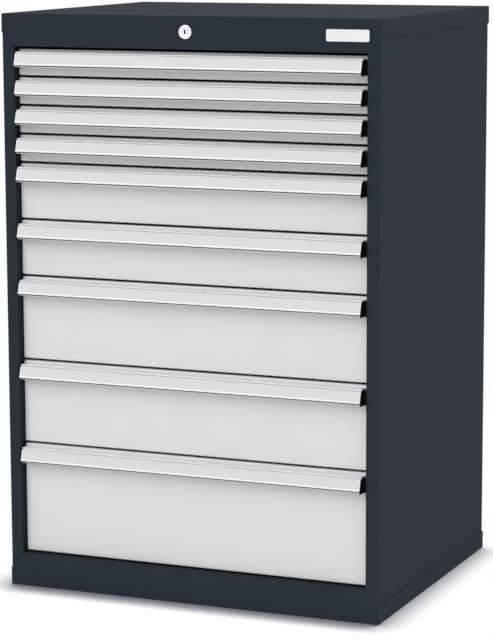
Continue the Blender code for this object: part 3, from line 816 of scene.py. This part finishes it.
def make_tray(number):
    """The drawer's box with slotted walls and a hemmed rim, a rail on each side and the lock's lug."""
    node_name = f"drawer_{number}_tray"
    low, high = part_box(node_name)
    half = RAIL_WEB + TRAY_SHEET / 2
    bm = bmesh.new()
    add_tray_walls(bm, half, low, high)
    add_block(bm, (-half, low.y, low.z), (half, high.y, low.z + TRAY_SHEET))
    hem = rounded_outline(
        [
            ((half, high.z), HEM_ROUND),
            ((half, high.z - HEM_HEIGHT), 0),
            ((half - HEM_WIDTH, high.z - HEM_HEIGHT), 0),
            ((half - HEM_WIDTH, high.z), HEM_ROUND),
        ]
    )
    rail_low = low.z + TRAY_RAIL_RISE
    rail_high = rail_low + SLIDE_HEIGHT
    tip = RUNNER_INNER - MEMBER_GAP
    path = [(tip, rail_high), (RAIL_WEB, rail_high), (RAIL_WEB, rail_low), (tip, rail_low)]
    rail = sheet_outline(path, MEMBER_SHEET, MEMBER_SHEET)
    for side, _ in SIDES:
        place = mirrored(along_y, side)
        add_prism(bm, hem, place, low.y, high.y)
        add_prism(bm, rail, place, FRONT_Y + SLIDE_START, high.y - TRAY_SHEET)
    top_z = high.z + TRAY_TOP_DROP
    lug_y = FRONT_Y + LUG_START
    lug_low, lug_high = [top_z - drop for drop in LUG_DROPS]
    add_block(bm, (RAIL_WEB, lug_y, lug_low), (high.x, lug_y + LUG_SHEET, lug_high))
    tray = add_piece(f"drawer_{number}_box", bm, light_grey)
    settle(tray, f"drawer_{number}", "light_grey_paint", node_name)


def make_runner(number, side, hand):
    """One intermediate runner: its plate with the roller pins, and two rollers at each face."""
    body = f"drawer_{number}_runners"
    node_name = f"drawer_{number}_{hand}_runner"
    low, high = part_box(node_name)
    middle_z = (low.z + high.z) / 2
    half_travel = TRAVEL / 2

    # Each pin's way outwards and its foot: two on the tray's side of the plate, two on the cabinet's
    feet = [
        (face * side, (side * start, y, middle_z))
        for face, start, y in (
            (-1, RUNNER_INNER, low.y + ROLLER_RADIUS),
            (-1, RUNNER_INNER, low.y + half_travel - ROLLER_RADIUS),
            (1, RUNNER_OUTER, low.y + half_travel + 2 * ROLLER_RADIUS),
            (1, RUNNER_OUTER, high.y - ROLLER_RADIUS),
        )
    ]
    foot_z, head_z = middle_z - RUNNER_HEIGHT / 2, middle_z + RUNNER_HEIGHT / 2
    corners = ((low.y, foot_z), (high.y, foot_z), (high.y, head_z), (low.y, head_z))
    plate = rounded_outline([(corner, RUNNER_HEIGHT / 4) for corner in corners])
    bm = bmesh.new()
    add_prism(bm, plate, mirrored(along_x, side), RUNNER_INNER, RUNNER_OUTER)
    pin = [
        (PIN_RADIUS, 0),
        (PIN_RADIUS, ROLLER_WIDTH - PIN_DOME),
        (PIN_RADIUS / 2, ROLLER_WIDTH - PIN_DOME / 4),
        (0, ROLLER_WIDTH),
    ]
    for outward, foot in feet:
        add_turned(bm, pin, foot, (outward, 0, 0), PIN_STEPS)
    settle(add_piece(node_name + "_plate", bm, zinc), body, "zinc_plate", node_name)

    tyre = [
        (PIN_RADIUS + FIT, FIT),
        (ROLLER_RADIUS - ROLLER_EDGE, FIT),
        (ROLLER_RADIUS, FIT + ROLLER_EDGE),
        (ROLLER_RADIUS, ROLLER_WIDTH - ROLLER_EDGE),
        (ROLLER_RADIUS - ROLLER_EDGE, ROLLER_WIDTH),
        (ROLLER_RADIUS - 2 * ROLLER_EDGE, ROLLER_WIDTH),
        (ROLLER_RADIUS - 3 * ROLLER_EDGE, ROLLER_WIDTH - ROLLER_DISH),
        (ROLLER_HUB, ROLLER_WIDTH - ROLLER_DISH),
        (PIN_RADIUS + FIT, ROLLER_WIDTH - ROLLER_DISH / 2),
    ]
    bm = bmesh.new()
    for outward, foot in feet:
        add_turned(bm, tyre, foot, (outward, 0, 0), ROLLER_STEPS)
    rollers = add_piece(f"drawer_{number}_{hand}_rollers", bm, white_plastic)
    settle(rollers, body, "white_plastic")


def make_collar():
    """The lock's nickel collar with its dished face and its body behind the apron, and a thin black ring round
    it that is painted shade.
    """
    depth = HOUSING_HIGH.y - FRONT_Y
    bore = BARREL_RADIUS + FIT
    ring = COLLAR_RADIUS - COLLAR_RING
    dish = COLLAR_HEIGHT - COLLAR_DISH
    profile = [
        (bore, -depth),
        (bore, dish),
        (ring - COLLAR_EDGE, dish),
        (ring, COLLAR_HEIGHT),
        (COLLAR_RADIUS - COLLAR_EDGE, COLLAR_HEIGHT),
        (COLLAR_RADIUS, COLLAR_HEIGHT - COLLAR_EDGE),
        (COLLAR_RADIUS, FIT),
        (HOUSING_RADIUS, FIT),
        (HOUSING_RADIUS, -depth),
        (bore, -depth),
    ]
    bm = bmesh.new()
    add_turned(bm, profile, LOCK_CENTRE, (0, -1, 0), LOCK_STEPS)
    settle(add_piece("lock_collar", bm, nickel), "cabinet", "nickel", "lock_housing")

    # The black ring round the collar is painted shade for the gap at its rim
    rim = COLLAR_RADIUS + SHADE_RING_WIDTH
    profile = [
        (HOUSING_RADIUS, SEAT),
        (rim, SEAT),
        (rim, SHADE_RING_SHEET),
        (HOUSING_RADIUS, SHADE_RING_SHEET),
        (HOUSING_RADIUS, SEAT),
    ]
    bm = bmesh.new()
    add_turned(bm, profile, LOCK_CENTRE, (0, -1, 0), LOCK_STEPS)
    settle(add_piece("lock_painted_shade_ring", bm, black_plastic), "cabinet", "black_plastic")


def make_plug():
    """The part of the lock that turns: a nickel plug with a keyway, and a black sheet in it that is painted
    shade.
    """
    low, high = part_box("lock_barrel")
    top, foot = FRONT_Y - low.y, FRONT_Y - high.y
    profile = [
        (0, top - BARREL_DISH),
        (BARREL_RADIUS - 2 * BARREL_EDGE, top - BARREL_DISH),
        (BARREL_RADIUS - BARREL_EDGE, top),
        (BARREL_RADIUS, top - BARREL_EDGE),
        (BARREL_RADIUS, foot),
        (0, foot),
    ]
    bm = bmesh.new()
    add_turned(bm, profile, LOCK_CENTRE, (0, -1, 0), LOCK_STEPS)
    plug = add_piece("lock_plug", bm, nickel)
    keyway_low = LOCK_CENTRE - Vector((KEYWAY_WIDTH / 2, top + CUT_OVERRUN, KEYWAY_LENGTH / 2))
    keyway_high = LOCK_CENTRE + Vector((KEYWAY_WIDTH / 2, KEYWAY_DEPTH - top, KEYWAY_LENGTH / 2))
    bm = bmesh.new()
    add_block(bm, keyway_low, keyway_high)
    cut(plug, bm)
    settle(plug, "lock_barrel", "nickel", "lock_barrel")

    # A black sheet at the keyway's floor, painted shade for the keyway's depth
    keyway_low.y = keyway_high.y - KEYWAY_SHADE_SHEET
    bm = bmesh.new()
    add_block(bm, keyway_low, keyway_high)
    settle(add_piece("keyway_painted_shade", bm, black_plastic), "lock_barrel", "black_plastic")


def make_apron_plate():
    """The small plate at the right of the lock, left bare."""
    low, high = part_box("badge_plate")
    corners = [(low.x, low.z), (high.x, low.z), (high.x, high.z), (low.x, high.z)]
    bm = bmesh.new()
    outline = rounded_outline([(corner, PLATE_CORNER) for corner in corners])
    add_prism(bm, outline, along_y, low.y, high.y)
    plate = add_piece("apron_plate", bm, white_plastic)
    edge = plate.modifiers.new("Soft edge", "BEVEL")
    edge.width = PLATE_EDGE
    edge.segments = PLATE_EDGE_STEPS
    edge.limit_method = "ANGLE"
    edge.angle_limit = PLATE_EDGE_ANGLE
    settle(plate, "cabinet", "white_plastic", "badge_plate")


def background_rays(tree):
    """1 for the rays that show the background: the camera's own, reflected and refracted ones."""
    rays = node(tree, "ShaderNodeLightPath").outputs
    shown = rays["Is Camera Ray"]
    for name in ("Is Glossy Ray", "Is Transmission Ray"):
        shown = node(tree, "ShaderNodeMath", {0: shown, 1: rays[name]}, operation="MAXIMUM").outputs["Value"]
    return shown


def make_floor():
    """A floor that looks white but for the shade round the cabinet's foot, and that throws light as a pale
    floor does. The shade's normal leans back, because the photograph's floor is darker in front of the
    cabinet than beside it."""
    bm = bmesh.new()
    bmesh.ops.create_grid(bm, x_segments=1, y_segments=1, size=FLOOR_HALF)
    finish, tree = new_finish("white_studio_floor")
    floor = add_piece("floor", bm, finish)
    floor.location.z = -FLOOR_DROP
    lean = node(tree, "ShaderNodeCombineXYZ", CONTACT_LEAN).outputs["Vector"]
    nearness = {"Distance": CONTACT_REACH, "Normal": lean}
    near = node(tree, "ShaderNodeAmbientOcclusion", nearness, samples=CONTACT_SAMPLES).outputs["AO"]
    shade = node(tree, "ShaderNodeValToRGB", {"Fac": near})
    darkest, lightest = shade.color_ramp.elements
    darkest.position = CONTACT_START_SHARE
    darkest.color = linear(CONTACT_COLOUR)
    lightest.color = (1, 1, 1, 1)
    seen = node(tree, "ShaderNodeEmission", {"Color": shade.outputs["Color"], "Strength": 1.0})
    lit = node(tree, "ShaderNodeBsdfDiffuse", {"Color": linear(FLOOR_COLOUR)})
    ways = {"Fac": background_rays(tree), 1: lit.outputs["BSDF"], 2: seen.outputs["Emission"]}
    shader = node(tree, "ShaderNodeMixShader", ways)
    node(tree, "ShaderNodeOutputMaterial", {"Surface": shader.outputs["Shader"]})


def make_world():
    """A white background, and a room that lights the cabinet evenly from all round."""
    world = bpy.data.worlds.new("white_studio")
    bpy.context.scene.world = world
    world.use_nodes = True
    tree = world.node_tree
    tree.nodes.clear()
    room = node(tree, "ShaderNodeBackground", {"Color": (1, 1, 1, 1), "Strength": ROOM_LIGHT})
    seen = node(tree, "ShaderNodeBackground", {"Color": (1, 1, 1, 1), "Strength": 1.0})
    ways = {"Fac": background_rays(tree), 1: room.outputs["Background"], 2: seen.outputs["Background"]}
    mix = node(tree, "ShaderNodeMixShader", ways)
    node(tree, "ShaderNodeOutputWorld", {"Surface": mix.outputs["Shader"]})


def add_softbox(name, place, target, side, power):
    """A square softbox that faces its target."""
    lamp = bpy.data.lights.new(name, "AREA")
    lamp.shape = "SQUARE"
    lamp.size = side
    lamp.energy = power
    holder = bpy.data.objects.new(name, lamp)
    holder.location = place
    holder.rotation_euler = (Vector(target) - Vector(place)).to_track_quat("-Z", "Y").to_euler()
    bpy.context.scene.collection.objects.link(holder)


def make_camera():
    """The camera that was fitted to the cabinet's corners in the photograph."""
    climb = Matrix.Rotation(-CAMERA_CLIMB, 3, "X")
    turn = Matrix.Rotation(CAMERA_TURN, 3, "Z")
    back = turn @ climb @ Vector((0, -1, 0))
    right = back.cross(Vector((0, 0, -1))).normalized()
    up = back.cross(right)
    side = math.cos(CAMERA_ROLL) * right + math.sin(CAMERA_ROLL) * up
    top = math.cos(CAMERA_ROLL) * up - math.sin(CAMERA_ROLL) * right
    place = Matrix((side, top, back)).transposed().to_4x4()
    place.translation = Vector(CAMERA_TARGET) + CAMERA_DISTANCE * back
    lens = bpy.data.cameras.new("photograph")
    lens.sensor_fit = "VERTICAL"
    lens.sensor_height = SENSOR
    lens.lens = FOCAL_PIXELS * SENSOR / FRAME_PIXELS
    camera = bpy.data.objects.new("photograph", lens)
    camera.matrix_world = place
    bpy.context.scene.collection.objects.link(camera)
    bpy.context.scene.camera = camera


# Powder coat baked on steel, the body: nearly black and matt, so that its folds show by tone alone
anthracite = powder_coat("anthracite_powder_coat", ("262e37", "2b333c"), roughness=0.85, specular=0.05)
# Powder coat baked on steel, the fronts and trays: pale, with a soft sheen that drifts over a panel
light_grey = powder_coat("light_grey_powder_coat", ("d6d8d7", "dbdddc"), roughness=0.4, specular=0.5)
# Aluminium, drawn and anodised: pale and chalky under its oxide, with fine lines along it in its sheen
aluminium = drawn_metal("drawn_anodised_aluminium", ("e6e8e9", "f0f1f2"), roughness=0.5, metallic=0.2)
# Nickel plated over a blasted surface: a bright but soft mirror with a fine mottle
nickel = plated_metal("satin_nickel_plate", ("ebedf0", "f2f4f6"), roughness=0.32, patch_size=MOTTLE_SIZE)
# Zinc plated on steel: a duller, bluish metal with patches of spangle
zinc = plated_metal("zinc_plated_steel", ("a4a9ae", "b9bec2"), roughness=0.38, patch_size=SPANGLE_SIZE)
# Moulded plastic, ABS in the small plate and acetal in the rollers: plain white with a soft highlight
white_plastic = moulded_plastic("moulded_white_plastic", ("e4e5e6", "ebecec"), roughness=0.4)
# Moulded ABS, the end caps: a dead black, as its fine grain breaks up the shine
# The same black is painted shade under the handles' beads, round the lock and in its keyway
black_plastic = moulded_plastic("moulded_black_abs_and_painted_shade", ("060607", "0a0a0b"), roughness=0.5, specular=0.15)
# Paper card under a clear extruded cover: a flat light grey with a thin gloss over it
label_card = moulded_plastic("card_under_clear_cover", ("cfd0d0", "d5d6d6"), roughness=0.6, coat=0.1)

row_of_copies = repeater()
make_lid()
make_base()
for side, hand in SIDES:
    make_side_panel(side, hand)
    make_rear_rivets(side, hand)
make_collar()
make_plug()
make_apron_plate()
for number in DRAWERS:
    make_front(number)
    make_handle(number)
    make_tray(number)
    for side, hand in SIDES:
        make_runner(number, side, hand)

dress(["back_panel"], anthracite)
dress(["right_rail_frame", "left_rail_frame", "locking_bar", "lock_cam"], zinc)
dress(["lock_nut"], nickel)

make_floor()
make_world()
for name, (place, target, side, power) in SOFTBOXES.items():
    add_softbox(name, place, target, side, power)
make_camera()

bpy.context.scene.view_settings.view_transform = "Standard"
